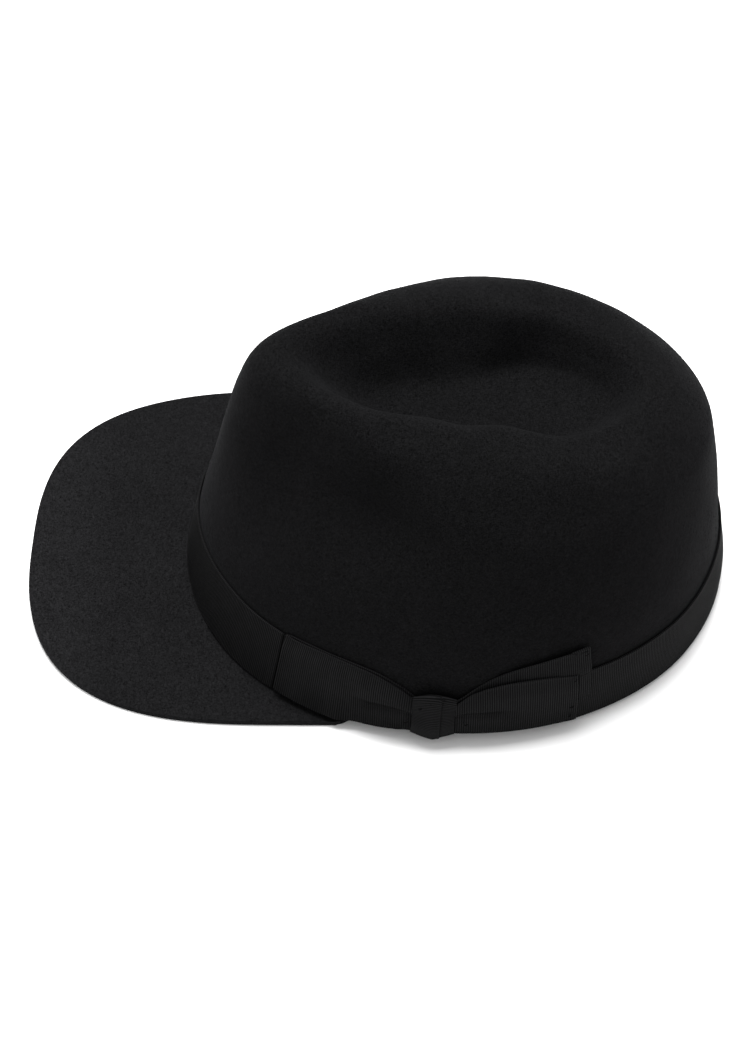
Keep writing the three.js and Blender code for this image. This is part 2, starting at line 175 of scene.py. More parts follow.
# Shades, where 1 is the darkest
FOLD_SHADE_REACH = 0.28
LOOP_FOLD_SHADE = 0.85
LOOP_LOW_SHADE = 0.32
TAIL_EDGE_SHADE = 0.9
TAIL_FOLD_SHADE = 0.8
TAIL_LOW_SHADE = 0.2
# Shades on the band beside the bow: strength, distance from the knot, reach, and from and to shares of width
BAND_SHADES = ((0.9, -61.3, 0.9, 0.0, 1.0), (0.6, 57.3, 0.7, 0.4, 1.0), (0.9, 52.0, 0.9, 0.0, 0.45))

# Sewing and nap

# Distance along the band from the knot, height, distance off the band's face, and slant in degrees
STITCHES = (
    (50.0, 27.6, 2.7, 60), (49.0, 13.2, 2.7, 20), (48.6, 8.4, 2.7, 75), (54.8, 37.8, 1.0, 30),
    (-8.9, 13.2, 2.85, 80), (-9.6, 11.0, 2.8, 20), (10.4, 13.7, 2.85, 70), (11.2, 11.9, 2.8, 10),
    (-4.7, 20.1, 3.8, 35), (-1.1, 23.2, 3.7, 70),
)
STITCH_RADIUS = 0.17
STITCH_MIDDLE_OFF = 0.16
STITCH_ARCH = 1.6
# Where the ribbon's cut ends fray: the same three distances, the spread along the band, number of threads
FRAYS = (
    (52.5, 39.6, 1.0, 5.0, 9), (56.4, 38.0, 1.2, 0.6, 3),
    (3.6, 24.6, 2.6, 3.0, 6), (51.2, 28.4, 2.4, 0.5, 3),
)
FRAY_RADIUS = 0.06
FRAY_REACH = (0.9, 2.4)
FRAY_LEAN = 0.7
FRAY_CURL = 0.8
FRAY_DROOP = 0.3
FRAY_OFF = (-0.2, 0.9)
NAP_FIBRES = 36000
NAP_RADIUS = 0.028
NAP_LENGTH = (0.5, 1.4)
NAP_LEAST_RISE = 0.06
NAP_RISE = 0.4
# How far the nap keeps above the band and, on the peak, out from the crown's base
NAP_ABOVE_BAND = 0.8
NAP_BEYOND_BASE = 9.0

# Painted light and shade, and the ribbon's weave and gloss

# Painted light on the peak and painted shade in the front pinches: each pair says where a tone starts and
# where it is full
PEAK_TONE = 2.3
PEAK_TONE_UP = (0.016, 0.005)
PEAK_TONE_FORWARD = (-0.1, -0.13)
PEAK_TONE_AT_CROWN = 0.48
# Painted shade in the two hollows pinched into the crown's front
PINCH_TONE = 0.55
PINCH_FORWARD = 0.018
PINCH_ACROSS = (0.034, 0.046)
PINCH_ALONG = (0.042, 0.006)
PINCH_FROM_ABOVE = (0.1035, 0.096)
PINCH_FROM_BELOW = (0.07, 0.091)
# The ribbon's warp threads, the gloss of its ribs, and its tone in full painted shade
WARP_PITCH = 0.00016
RIB_GLOSS = 0.075
FULL_SHADE_TONE = 0.1

# Light and camera

# Name, place, the point it faces, size and power in watts
LAMPS = (
    ("lamp_over_far_side", (-0.41, -0.08, 1.55), (0.0, 0.0, 0.0), (0.9, 0.9), 50.0),
)
WORLD_STRENGTH = 0.76
CAMERA_TARGET = (-0.0143, -0.0006, 0.0)
CAMERA_DISTANCE = 0.9
CAMERA_UP = math.radians(49.0)
CAMERA_ROUND = math.radians(0.5)
CAMERA_ROLL = math.radians(-0.2)
CAMERA_LENS = 78.3
CAMERA_SENSOR = 36.0
FLOOR_SIZE = 6.0
FLOOR_DOWN = 0.0003

# Fineness

# Rows for each row of the solid
FELT_FINENESS = 4
# Degrees between the felt's columns, and where they are closer since the peak dies into the base
COLUMN_STEP = 1.25
CLOSE_COLUMN_STEP = 0.5
CLOSE_COLUMNS = (60, 72)
# Degrees from which an angle of the felt counts as its cut edge, and from which it looks sharp
FELT_EDGE_ANGLE = 55.0
FELT_SMOOTH_ANGLE = 80.0
FELT_EDGE_SEGMENTS = 2
SAMPLES_A_RIB = 4
# Distances of the rows along a selvedge, in from the edge, and the number of rows between the selvedges
SELVEDGE = (0.0, 0.12, 0.34, 0.62, 1.0)
BAND_ROWS = 5
BOW_ROWS = 34
KNOT_ROWS = 44
THREAD_SIDES = 6
THREAD_POINTS = 7
# Thickness of a plain shape's wall before its vertices are moved
PLAIN_WALL = 0.1


def smoothstep(t):
    t = np.clip(t, 0.0, 1.0)
    return t * t * (3 - 2 * t)


def ramp(value, start, end):
    """Rises smoothly from 0 where the value is at the start to 1 where it is at the end."""
    return smoothstep((value - start) / (end - start))


def through(places, values, at, level_ends=False):
    """Hermite curve through values at given places. Places and values may hold one column for each of at."""
    at = np.asarray(at, float)
    places, values = np.asarray(places, float), np.asarray(values, float)
    if places.ndim == 1:
        places = np.repeat(places[:, None], at.size, 1)
    if values.ndim == 1:
        values = np.repeat(values[:, None], at.size, 1)
    slopes = np.empty_like(values)
    slopes[1:-1] = (values[2:] - values[:-2]) / (places[2:] - places[:-2])
    slopes[0] = 0 if level_ends else (values[1] - values[0]) / (places[1] - places[0])
    slopes[-1] = 0 if level_ends else (values[-1] - values[-2]) / (places[-1] - places[-2])
    column = np.arange(at.size)
    i = (at[None] > places[1:-1]).sum(0)
    span = places[i + 1, column] - places[i, column]
    t = (at - places[i, column]) / span
    start, end = values[i, column], values[i + 1, column]
    leave = t * (1 - t) ** 2 * span * slopes[i, column]
    arrive = t * t * (t - 1) * span * slopes[i + 1, column]
    return start + (end - start) * t * t * (3 - 2 * t) + leave + arrive


def by_angle(values, deg):
    return through(CROWN_ANGLES, values, np.abs(deg), True)


def peak_share(deg):
    return ramp(np.abs(deg), PEAK_FADE[1], PEAK_FADE[0])


def peak_reach(deg):
    """Distance from the crown's middle to the peak's outline, found by halving along the ray."""
    c, s = np.cos(np.radians(deg)), np.abs(np.sin(np.radians(deg)))
    near, far = np.zeros_like(c), np.full_like(c, 2 * PEAK_FRONT)
    for _ in range(PEAK_HALVINGS):
        middle = (near + far) / 2
        forward = np.maximum(middle * c - PEAK_SHOULDER, 0) / (PEAK_FRONT - PEAK_SHOULDER)
        inside = forward**PEAK_SQUARENESS + (middle * s / PEAK_HALF_WIDTH) ** PEAK_SQUARENESS < 1
        near, far = np.where(inside, middle, near), np.where(inside, far, middle)
    return near


def fold_radius(deg):
    return np.clip(peak_reach(deg) - by_angle(BASE_OUT, deg), FOLD_RADIUS_LEAST, FOLD_RADIUS)


def peak_rise(out, deg):
    forward = out * np.cos(np.radians(deg))
    across = out * np.sin(np.radians(deg)) / PEAK_HALF_WIDTH
    share = np.clip((forward - PEAK_SHOULDER) / (PEAK_FRONT - PEAK_SHOULDER), 0, 1)
    return PEAK_TIP_RISE * share**2 * np.maximum(1 - across**2, 0)


def felt_section(deg, thick):
    """The felt's outer face: distances out and heights in rows, from the lower edge to the dent."""
    base, ridge_out, ridge_up = (by_angle(v, deg) for v in (BASE_OUT, RIDGE_OUT, RIDGE_UP))
    base_up = np.maximum(by_angle(BASE_UP, deg), 0)
    fold_up = thick + FOLD_RADIUS
    foot = base - by_angle(WALL[0][2], deg) * fold_up / (WALL[0][0] * ridge_up)
    outs, ups, rows = [foot], [np.full_like(base, fold_up)], [0]
    for share, count, inset in WALL:
        outs.append(base - by_angle(inset, deg))
        ups.append(share * ridge_up)
        rows.append(count * FELT_FINENESS)
    for rise, count, shares in DENT:
        outs.append(by_angle(shares, deg) * ridge_out)
        ups.append(DENT_FLOOR_UP + rise * (ridge_up - DENT_FLOOR_UP))
        rows.append(count * FELT_FINENESS)
    outs, ups = np.array(outs), np.array(ups)
    steps = np.hypot(np.diff(outs, axis=0), np.diff(ups, axis=0))
    places = np.concatenate([np.zeros((1, deg.size)), steps.cumsum(0)])
    crown = [(outs[0], ups[0])]
    for i in range(1, len(rows)):
        for k in range(1, rows[i] + 1):
            at = places[i - 1] + (places[i] - places[i - 1]) * k / rows[i]
            crown.append((through(places, outs, at), through(places, ups, at)))
    share, reach, radius = peak_share(deg), np.maximum(peak_reach(deg), base), fold_radius(deg)
    fold_rows, peak_rows = FOLD_ROWS * FELT_FINENESS, PEAK_ROWS * FELT_FINENESS
    skirt = []
    for k in range(fold_rows + peak_rows, 0, -1):
        down = k / (fold_rows + peak_rows)
        turn = min(k, fold_rows) / fold_rows * math.pi / 2
        beyond = max(k - fold_rows, 0) / peak_rows
        fold_out = foot + radius * (1 - math.cos(turn))
        out = fold_out + (reach - fold_out) * beyond
        up = thick + peak_rise(out, deg) + FOLD_RADIUS * (1 - math.sin(turn))
        plain_out, plain_up = foot + (base - foot) * down, fold_up + (base_up - fold_up) * down
        skirt.append((plain_out + (out - plain_out) * share, plain_up + (up - plain_up) * share))
    rows = np.array(skirt + crown)
    return rows[:, 0], rows[:, 1]


def place(deg, out, up):
    """Points of the part, in millimetres, from angles, distances from the crown's middle and heights."""
    forward, left = out * np.cos(np.radians(deg)), out * np.sin(np.radians(deg))
    points = [left - CROWN_TO_RIGHT, CROWN_BEHIND_ORIGIN - forward, np.broadcast_to(up, left.shape)]
    return np.stack(points, -1)


def wall_out(deg, up):
    """Distance from the crown's middle to the felt's outer wall."""
    ridge_up = by_angle(RIDGE_UP, deg)
    levels = np.array([np.zeros_like(ridge_up)] + [share * ridge_up for share, _, _ in WALL])
    insets = np.array([np.zeros_like(ridge_up)] + [by_angle(inset, deg) for _, _, inset in WALL])
    return by_angle(BASE_OUT, deg) - through(levels, insets, up)


def band_point(deg, share):
    """The band's inner face, by angle and share of the ribbon's width: distance out and height."""
    low = by_angle(BAND_UP, deg)
    flare = BAND_FLARE * peak_share(deg) * fold_radius(deg) / FOLD_RADIUS
    bottom = by_angle(BASE_OUT, deg) + BAND_GAP + flare
    top = wall_out(deg, low + RIBBON_WIDE) + BAND_GAP
    up = low + RIBBON_WIDE * share
    return np.maximum(bottom + (top - bottom) * share, wall_out(deg, up) + BAND_GAP), up


def round_table():
    """Distance round the band from the front, by whole degrees."""
    deg = np.arange(0, 181.0)
    points = place(deg, band_point(deg, 0.5)[0], 0.0)
    return deg, np.concatenate([[0.0], np.linalg.norm(np.diff(points, axis=0), axis=1).cumsum()])


ROUND_DEG, ROUND_ALONG = round_table()
KNOT_ALONG = through(ROUND_DEG, ROUND_ALONG, np.array([KNOT_ANGLE]))[0]
BAND_LENGTH = 2 * ROUND_ALONG[-1]


def band_width(deg):
    """Share of its full width that the band keeps at an angle, since the knot gathers it too."""
    along = np.where(deg < 0, BAND_LENGTH, through(ROUND_DEG, ROUND_ALONG, np.abs(deg)) - KNOT_ALONG)
    return 1 - BAND_GATHER * smoothstep(1 - np.abs(along) / BAND_GATHER_REACH)


def over_band(along, up, off):
    """Points over the band's face, by distance from the knot, height and distance off it."""
    shape = np.broadcast_shapes(np.shape(along), np.shape(up), np.shape(off))
    along, up, off = (np.broadcast_to(v, shape).ravel().astype(float) for v in (along, up, off))
    deg = through(ROUND_ALONG, ROUND_DEG, along + KNOT_ALONG)
    (low_out, low_up), (middle_out, _), (high_out, high_up) = (band_point(deg, s) for s in (0.0, 0.5, 1.0))
    share = (up - low_up) / (high_up - low_up)
    chord = low_out + (high_out - low_out) * share
    bulge = (middle_out - (low_out + high_out) / 2) * np.maximum(4 * share * (1 - share), 0)
    return place(deg, chord + bulge + BAND_THICK + off, up).reshape(*shape, 3)


def unevenness(points, wave, rng):
    """Soft seeded unevenness, between about -1 and 1, at points in millimetres."""
    value = np.zeros(points.shape[:-1])
    for _ in range(WAVE_COUNT):
        direction = rng.normal(size=3)
        direction *= 2 * math.pi / (wave * rng.uniform(*WAVE_LENGTHS)) / np.linalg.norm(direction)
        value += np.sin(points @ direction + rng.uniform(0, 2 * math.pi))
    return value / math.sqrt(WAVE_COUNT)


def felt_columns():
    """Angles of the felt's columns, all round from the front."""
    first, last = CLOSE_COLUMNS
    half = np.concatenate([
        np.arange(0, first, COLUMN_STEP),
        np.arange(first, last, CLOSE_COLUMN_STEP),
        np.arange(last, 180.0, COLUMN_STEP),
        [180.0],
    ])
    return np.concatenate([half, 360.0 - half[-2:0:-1]])


def felt_normals(face):
    normals = grid_normals(face, True)
    normals[-1] = (0, 0, 1)
    return normals


def felt_face(thick, amount):
    """The felt's uneven outer face: angles from the front, and in rows going up distances out and points."""
    deg = felt_columns()
    signed = np.where(deg > 180, deg - 360, deg)
    out, up = felt_section(signed, thick)
    face = place(np.broadcast_to(deg, out.shape), out, up)
    normals = felt_normals(face)
    rng = np.random.default_rng(SEED)
    waves = unevenness(face, LONG_WAVE, rng) + SHORT_WAVE_SHARE * unevenness(face, SHORT_WAVE, rng)
    on_peak = peak_share(signed) * ramp(out - by_angle(BASE_OUT, signed), *WAVES_BEYOND_BASE)
    free = np.maximum(ramp(face[..., 2], *WAVES_ABOVE_BAND), WAVES_ON_PEAK * on_peak)
    face = face + normals * (waves * free * amount)[..., None]
    face[-1] = face[-1].mean(0)
    return signed, out, face


def grid_normals(points, closed):
    """Normals of a grid of points in rows going up. Closed joins the last column to the first."""
    if closed:
        wrapped = np.concatenate([points[:, -1:], points, points[:, :1]], 1)
        across = wrapped[:, 2:] - wrapped[:, :-2]
    else:
        across = np.gradient(points, axis=1)
    normals = np.cross(across, np.gradient(points, axis=0))
    length = np.linalg.norm(normals, axis=-1, keepdims=True)
    return normals / np.maximum(length, 1e-9)


# Modelling aids


def clear_selection():
    if bpy.context.mode != "OBJECT":
        bpy.ops.object.mode_set(mode="OBJECT")
    bpy.ops.object.select_all(action="DESELECT")


def give_wall(piece, thickness):
    """Doubles the piece's faces inwards, so that it has an outer and an inner skin and a rim."""
    wall = piece.modifiers.new("Wall", "SOLIDIFY")
    wall.thickness = thickness
    wall.offset = -1
    bpy.ops.object.modifier_apply(modifier=wall.name)


def coordinates(piece):
    flat = np.empty(len(piece.data.vertices) * 3)
    piece.data.vertices.foreach_get("co", flat)
    return flat.reshape(-1, 3)


def move_vertices(piece, points):
    piece.data.vertices.foreach_set("co", np.ascontiguousarray(points, dtype=np.float32).ravel())
    piece.data.update()


def loop_vertices(piece):
    index = np.empty(len(piece.data.loops), int)
    piece.data.loops.foreach_get("vertex_index", index)
    return index


def extruded_circle(name, columns, rows, fill="NOTHING"):
    """A tube one unit wide out from its middle, with its rows one unit apart, going up."""
    clear_selection()
    bpy.ops.mesh.primitive_circle_add(vertices=columns, radius=1.0, fill_type=fill, location=(0, 0, 0))
    tube = bpy.context.object
    tube.name = tube.data.name = name
    bpy.ops.object.mode_set(mode="EDIT")
    bpy.ops.mesh.select_all(action="SELECT")
    for _ in range(rows - 1):
        bpy.ops.mesh.extrude_region_move(TRANSFORM_OT_translate={"value": (0, 0, 1.0)})
    bpy.ops.mesh.select_all(action="SELECT")
    bpy.ops.mesh.normals_make_consistent(inside=False)
    bpy.ops.object.mode_set(mode="OBJECT")
    return tube


def plain_tube(name, columns, rows):
    """A tube with two skins. Returns it and each vertex's column, row and whether it is inner."""
    tube = extruded_circle(name, columns, rows)
    give_wall(tube, PLAIN_WALL)
    at = coordinates(tube)
    column = np.rint(np.arctan2(at[:, 0], -at[:, 1]) / (2 * math.pi) * columns).astype(int) % columns
    inner = np.hypot(at[:, 0], at[:, 1]) < 1 - PLAIN_WALL / 2
    return tube, column, np.rint(at[:, 2]).astype(int), inner


def plain_strip(name, columns, rows):
    """A flat strip with two skins. Returns it and each vertex's column, row and whether it is behind."""
    clear_selection()
    bpy.ops.mesh.primitive_grid_add(
        x_subdivisions=columns - 1, y_subdivisions=rows - 1, size=2.0, location=(0, 0, 0))
    strip = bpy.context.object
    strip.name = strip.data.name = name
    give_wall(strip, PLAIN_WALL)
    at = coordinates(strip)
    column = np.rint((at[:, 0] + 1) / 2 * (columns - 1)).astype(int)
    row = np.rint((at[:, 1] + 1) / 2 * (rows - 1)).astype(int)
    return strip, column, row, at[:, 2] < -PLAIN_WALL / 2


def repeat(piece, count):
    """Makes the piece into copies of itself in one place, one after the other in its list of vertices."""
    copies = piece.modifiers.new("Copies", "ARRAY")
    copies.count = count
    copies.use_relative_offset = False
    copies.use_constant_offset = True
    copies.constant_offset_displace = (0, 0, 0)
    bpy.ops.object.modifier_apply(modifier=copies.name)


def threads(name, paths, radius):
    """Round threads as one piece, along paths in millimetres that all have as many points."""
    piece = extruded_circle(name, THREAD_SIDES, len(paths[0]), "NGON")
    at = coordinates(piece)
    row = np.rint(at[:, 2]).astype(int)
    repeat(piece, len(paths))
    points = []
    for path in paths:
        ahead = np.gradient(np.asarray(path), axis=0)
        ahead /= np.linalg.norm(ahead, axis=1, keepdims=True)
        side = np.cross(ahead, (0.96, 0.1, 0.26))
        side /= np.linalg.norm(side, axis=1, keepdims=True)
        other = np.cross(ahead, side)
        points.append(np.asarray(path)[row] + radius * (at[:, :1] * side[row] + at[:, 1:2] * other[row]))
    move_vertices(piece, np.concatenate(points) * MM)
    return piece


def add_uv(piece, along, across):
    """A UV map in metres of ribbon, from a length along and across it for each loop."""
    layer = piece.data.uv_layers.new(name="Ribbon")
    layer.data.foreach_set("uv", np.stack([along, across], -1).astype(np.float32).ravel() * MM)


def add_shade(piece, values):
    """Stores the shade painted at each vertex: how far the ribbon darkens in its folds and beside the edges
    over it.
    """
    attribute = piece.data.attributes.new("Fold shade", "FLOAT", "POINT")
    attribute.data.foreach_set("value", np.clip(values, 0.0, 1.0))


def finish_piece(piece, node, material, smooth_angle=50.0):
    clear_selection()
    piece.select_set(True)
    bpy.context.view_layer.objects.active = piece
    bpy.ops.object.shade_smooth_by_angle(angle=math.radians(smooth_angle))
    piece.data.materials.clear()
    piece.data.materials.append(material)
    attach(piece, "root")
    if node:
        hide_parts(node)


# Materials


def new_material(name):
    material = bpy.data.materials.new(name)
    material.use_nodes = True
    return material, material.node_tree.nodes, material.node_tree.links


def noise(nodes, links, vector, scale, detail, roughness=0.5, distortion=0.0):
    node = nodes.new("ShaderNodeTexNoise")
    node.inputs["Scale"].default_value = scale
    node.inputs["Detail"].default_value = detail
    node.inputs["Roughness"].default_value = roughness
    node.inputs["Distortion"].default_value = distortion
    links.new(vector, node.inputs["Vector"])
    return node.outputs["Fac"]


def ranged(nodes, links, value, low, high, to_low, to_high):
    node = nodes.new("ShaderNodeMapRange")
    for name, number in (("From Min", low), ("From Max", high), ("To Min", to_low), ("To Max", to_high)):
        node.inputs[name].default_value = number
    links.new(value, node.inputs["Value"])
    return node.outputs["Result"]


def combined(nodes, links, operation, a, b):
    node = nodes.new("ShaderNodeMath")
    node.operation = operation
    for socket, value in zip(node.inputs, (a, b)):
        if isinstance(value, (int, float)):
            socket.default_value = value
        else:
            links.new(value, socket)
    return node.outputs["Value"]


def product(nodes, links, *values):
    result = values[0]
    for value in values[1:]:
        result = combined(nodes, links, "MULTIPLY", result, value)
    return result


def stretched(nodes, links, vector, scale, turn):
    node = nodes.new("ShaderNodeMapping")
    node.inputs["Scale"].default_value = scale
    node.inputs["Rotation"].default_value = turn
    links.new(vector, node.inputs["Vector"])
    return node.outputs["Vector"]


def tinted(nodes, links, colour, strength):
    """A colour multiplied by a grey strength."""
    node = nodes.new("ShaderNodeMix")
    node.data_type = "RGBA"
    node.blend_type = "MULTIPLY"
    node.inputs["Factor"].default_value = 1.0
    node.inputs["A"].default_value = (*colour, 1.0)
    links.new(strength, node.inputs["B"])
    return node.outputs["Result"]


def bumped(nodes, links, height, distance, strength, before=None):
    node = nodes.new("ShaderNodeBump")
    node.inputs["Distance"].default_value = distance
    node.inputs["Strength"].default_value = strength
    links.new(height, node.inputs["Height"])
    if before:
        links.new(before, node.inputs["Normal"])
    return node.outputs["Normal"]


def felt_material(colour):
    """Matted wool: fine fibres lying every way, soft mottling from the blocking, a dull sheen, painted light
    on the peak and painted shade in the pinches.
    """
    material, nodes, links = new_material("Wool felt")
    surface = nodes["Principled BSDF"]
    where = nodes.new("ShaderNodeTexCoord").outputs["Object"]
    one_way = stretched(nodes, links, where, (1.0, 0.45, 1.0), (0.4, 0.0, 0.5))
    other_way = stretched(nodes, links, where, (0.45, 1.0, 0.9), (0.0, 0.6, -0.7))
    fibres_a = noise(nodes, links, one_way, scale=2300.0, detail=3.0, roughness=0.7, distortion=1.0)
    fibres_b = noise(nodes, links, other_way, scale=1800.0, detail=3.0, roughness=0.7, distortion=1.2)
    grain = combined(nodes, links, "ADD", fibres_a, fibres_b)
    tufts = noise(nodes, links, where, scale=420.0, detail=3.0, roughness=0.6)
    mottling = noise(nodes, links, where, scale=95.0, detail=4.0, roughness=0.55)
    clouds = noise(nodes, links, where, scale=22.0, detail=2.0)
    grain_tone = ranged(nodes, links, grain, 0.77, 1.23, to_low=0.2, to_high=1.9)
    tuft_tone = ranged(nodes, links, tufts, 0.3, 0.7, to_low=0.9, to_high=1.1)
    mottling_tone = ranged(nodes, links, mottling, 0.3, 0.7, to_low=0.94, to_high=1.06)
    cloud_tone = ranged(nodes, links, clouds, 0.3, 0.7, to_low=0.93, to_high=1.07)
    split = nodes.new("ShaderNodeSeparateXYZ")
    links.new(where, split.inputs["Vector"])
    # Light painted onto the peak, standing in for the top light falling on it
    peak_tone = painted_peak_light(nodes, links, split)
    # Shade painted into the two front pinches
    pinch_tone = painted_pinch_shade(nodes, links, split)
    tone = product(nodes, links, grain_tone, tuft_tone, mottling_tone, cloud_tone, peak_tone, pinch_tone)
    links.new(tinted(nodes, links, colour, tone), surface.inputs["Base Color"])
    surface.inputs["Roughness"].default_value = 0.95
    surface.inputs["Specular IOR Level"].default_value = 0.035
    surface.inputs["Sheen Weight"].default_value = 0.012
    surface.inputs["Sheen Roughness"].default_value = 0.45
    surface.inputs["Sheen Tint"].default_value = (0.9, 0.92, 1.0, 1.0)
    lumps = bumped(nodes, links, tufts, distance=0.0006, strength=0.35)
    fine = bumped(nodes, links, grain, distance=0.0002, strength=0.55, before=lumps)
    links.new(fine, surface.inputs["Normal"])
    return material


def painted_peak_light(nodes, links, split):
    """Painted light: the peak's felt is painted lighter than the crown's, standing in for the top light on
    it, and less so next to the crown, which shades it.
    """
    over_peak = ranged(nodes, links, split.outputs["Z"], *PEAK_TONE_UP, 0.0, 1.0)
    forward = ranged(nodes, links, split.outputs["Y"], *PEAK_TONE_FORWARD, PEAK_TONE_AT_CROWN, 1.0)
    return ranged(nodes, links, product(nodes, links, over_peak, forward), 0.0, 1.0, 1.0, PEAK_TONE)


def painted_pinch_shade(nodes, links, split):
    """Painted shade: the felt is painted darker in the two hollows pinched into the crown's front, standing
    in for hollows deeper than the solid's.
    """
    sideways = combined(nodes, links, "ADD", split.outputs["X"], CROWN_TO_RIGHT * MM)
    lengthways = combined(nodes, links, "ADD", split.outputs["Y"], PINCH_FORWARD)
    off_middle = combined(nodes, links, "ABSOLUTE", sideways, 0.0)
    off_pinch = combined(nodes, links, "ABSOLUTE", lengthways, 0.0)
    outside = ranged(nodes, links, off_middle, *PINCH_ACROSS, 0.0, 1.0)
    along = ranged(nodes, links, off_pinch, *PINCH_ALONG, 0.0, 1.0)
    below_ridge = ranged(nodes, links, split.outputs["Z"], *PINCH_FROM_ABOVE, 0.0, 1.0)
    above_wall = ranged(nodes, links, split.outputs["Z"], *PINCH_FROM_BELOW, 0.0, 1.0)
    pinched = product(nodes, links, along, below_ridge, above_wall, outside)
    return ranged(nodes, links, pinched, 0.0, 1.0, 1.0, PINCH_TONE)


def ribbon_material(colour, rib_pitch):
    """Grosgrain: crosswise ribs, each a little different, with fine warp threads over them, and shade painted
    into the ribs' grooves, its folds and beside the edges over it.
    """
    material, nodes, links = new_material("Grosgrain ribbon")
    surface = nodes["Principled BSDF"]
    ribbon = nodes.new("ShaderNodeUVMap")
    ribbon.uv_map = "Ribbon"
    split = nodes.new("ShaderNodeSeparateXYZ")
    links.new(ribbon.outputs["UV"], split.inputs["Vector"])
    along, across = split.outputs["X"], split.outputs["Y"]
    # Painted light and shade: rib tops are painted lighter and the grooves between them darker
    rib_turn = combined(nodes, links, "MULTIPLY", along, 2 * math.pi / rib_pitch)
    rib = combined(nodes, links, "COSINE", rib_turn, 0.0)
    rib_painted_shading = ranged(nodes, links, rib, -1.0, 1.0, to_low=0.25, to_high=1.35)
    number = combined(nodes, links, "ROUND", combined(nodes, links, "DIVIDE", along, rib_pitch), 0.0)
    each = nodes.new("ShaderNodeTexWhiteNoise")
    each.noise_dimensions = "1D"
    links.new(number, each.inputs["W"])
    each_tone = ranged(nodes, links, each.outputs["Value"], 0.0, 1.0, to_low=0.93, to_high=1.07)
    warp_turn = combined(nodes, links, "MULTIPLY", across, 2 * math.pi / WARP_PITCH)
    warp = combined(nodes, links, "SINE", warp_turn, 0.0)
    warp_tone = ranged(nodes, links, warp, -1.0, 1.0, to_low=0.94, to_high=1.06)
    where = nodes.new("ShaderNodeTexCoord").outputs["Object"]
    wear = noise(nodes, links, where, scale=160.0, detail=3.0)
    wear_tone = ranged(nodes, links, wear, 0.3, 0.7, to_low=0.9, to_high=1.12)
    # Painted shade from the Fold shade attribute: in the folds, along the lower parts and beside the edges of
    # ribbons over it
    shade = nodes.new("ShaderNodeAttribute")
    shade.attribute_name = "Fold shade"
    lit_tone = ranged(nodes, links, shade.outputs["Fac"], 0.0, 1.0, 1.0, FULL_SHADE_TONE)
    tone = product(nodes, links, rib_painted_shading, each_tone, warp_tone, wear_tone, lit_tone)
    # The gloss follows the same painted rib shading and painted fold shade
    gloss = product(nodes, links, rib_painted_shading, lit_tone, RIB_GLOSS)
    links.new(tinted(nodes, links, colour, tone), surface.inputs["Base Color"])
    surface.inputs["Roughness"].default_value = 0.8
    links.new(gloss, surface.inputs["Specular IOR Level"])
    weave = bumped(nodes, links, warp, distance=0.00003, strength=0.4)
    links.new(weave, surface.inputs["Normal"])
    return material


def thread_material(colour):
    """Twisted sewing thread."""
    material, nodes, links = new_material("Sewing thread")
    surface = nodes["Principled BSDF"]
    where = nodes.new("ShaderNodeTexCoord").outputs["Object"]
    twist = noise(nodes, links, where, scale=4000.0, detail=2.0)
    tone = ranged(nodes, links, twist, 0.3, 0.7, to_low=0.6, to_high=1.4)
    links.new(tinted(nodes, links, colour, tone), surface.inputs["Base Color"])
    surface.inputs["Roughness"].default_value = 0.8
    surface.inputs["Specular IOR Level"].default_value = 0.03
    strands = bumped(nodes, links, twist, distance=0.00005, strength=0.6)
    links.new(strands, surface.inputs["Normal"])
    return material


def floor_material(colour):
    """Matt white board."""
    material, nodes, links = new_material("White board")
    surface = nodes["Principled BSDF"]
    where = nodes.new("ShaderNodeTexCoord").outputs["Object"]
    patches = noise(nodes, links, where, scale=6.0, detail=2.0)
    tone = ranged(nodes, links, patches, 0.3, 0.7, to_low=0.985, to_high=1.0)
    links.new(tinted(nodes, links, colour, tone), surface.inputs["Base Color"])
    surface.inputs["Roughness"].default_value = 0.9
    return material


def shared_material(name, make, *values):
    return bpy.data.materials.get(name) or make(*values)


# The ribbons


def distances_along(rows):
    """Distances along a table's rows, by the first two values of each."""
    return np.concatenate([[0.0], np.hypot(np.diff(rows[:, 0]), np.diff(rows[:, 1])).cumsum()])


def strip_stations(rows, count):
    """Stations at even steps along a smooth curve through a table's rows, after their distances along it."""
    places = distances_along(rows)
    at = np.linspace(0.0, places[-1], count)
    return at, *(through(places, rows[:, column], at) for column in range(rows.shape[1]))


def width_rows(wide, between):
    """Places of the rows across a ribbon: close together along both selvedges."""
    edge = np.array(SELVEDGE)
    middle = np.linspace(edge[-1], wide - edge[-1], between + 2)[1:-1]
    return np.concatenate([edge, middle, wide - edge[::-1]])


def ribbon_skins(middle, along, across, wide, thick, cap, closed, inner_ribs=True):
    """The two skins of a ribbon from its middle face: crosswise ribs, and rounded, scalloped selvedges."""
    normals = grid_normals(middle, closed)
    sideways = np.gradient(middle, axis=0)
    sideways /= np.linalg.norm(sideways, axis=-1, keepdims=True)
    rib = np.cos(2 * math.pi * along / (cap.rib_pitch / MM))[None]
    from_edge = np.minimum(across, wide - across)[:, None]
    body = ramp(from_edge, SELVEDGE[1], SELVEDGE[-1])
    relief = cap.rib_relief / MM * rib * (SELVEDGE_RIB + (1 - SELVEDGE_RIB) * body)
    half = thick / 2 * np.where(from_edge < SELVEDGE[1] / 2, SELVEDGE_RIM, 1.0)
    half = half * (1.0 + SELVEDGE_THICKER * (1 - body))
    outward = np.where(across < wide / 2, -1.0, 1.0)[:, None]
    scallop = sideways * (outward * SCALLOP * rib * (1 - body))[..., None]
    front = middle + scallop + normals * (half + relief)[..., None]
    back = middle + scallop - normals * (half - (relief if inner_ribs else 0.0))[..., None]
    return front, back


def pick(front, back, row, column, behind):
    return np.where(behind[:, None], back[row, column], front[row, column]) * MM


